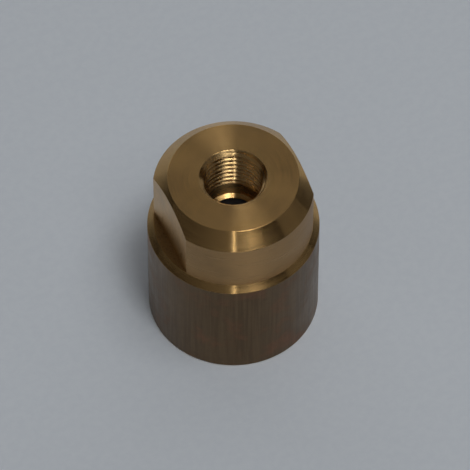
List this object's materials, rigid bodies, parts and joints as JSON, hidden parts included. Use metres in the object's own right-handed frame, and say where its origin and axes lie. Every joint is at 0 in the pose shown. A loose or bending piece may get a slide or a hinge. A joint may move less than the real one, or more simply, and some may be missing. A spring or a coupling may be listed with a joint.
{
  "type": "water pressure regulator",
  "caption": "Inline water pressure regulator with a turned brass body, wrench flats, threaded ports and a sprung hollow piston that closes on a soft seat.",
  "frame": {"origin": "centre of the lower end face, on the axis", "axes": "+Z along the axis from the inlet to the outlet, +X square to a wrench flat, +Y towards the vent"},
  "size_m": [0.035, 0.035, 0.0418],
  "materials": {
    "body_brass": "turned neck and top face, dull drawn bar below",
    "cap_brass": "turned",
    "piston_acetal": "turned, satin",
    "slide_plastic": "waxy",
    "seal_rubber": "smooth",
    "seat_rubber": "smooth",
    "spring_steel": "drawn wire",
    "stainless_steel": "stamped",
    "sintered_bronze": "porous, dull"
  },
  "bodies": {
    "housing": {"body": "body_brass", "end_cap": "cap_brass", "end_cap_seal": "seal_rubber", "stem_seal": "seal_rubber", "stem_backup_rings": "slide_plastic", "main_spring": "spring_steel", "lower_spring_washer": "stainless_steel", "preload_shims": "stainless_steel", "seat_carrier": "cap_brass", "seat_disc": "seat_rubber", "seat_washer": "stainless_steel", "seat_screw": "stainless_steel", "seat_carrier_ring": "spring_steel", "inlet_screen": "stainless_steel", "screen_frame": "cap_brass", "screen_ring": "spring_steel", "vent_plug": "sintered_bronze"},
    "piston": {"piston": "piston_acetal", "piston_head_seal": "seal_rubber", "piston_guide_ring": "slide_plastic", "upper_spring_washer": "stainless_steel"}
  },
  "joints": [
    {"name": "piston_slide", "type": "slide", "parent": "housing", "child": "piston", "axis": [0, 0, -1], "range_m": [0, 0.00145], "stiffness_N_per_m": 10200, "deforming": ["main_spring"]}
  ]
}
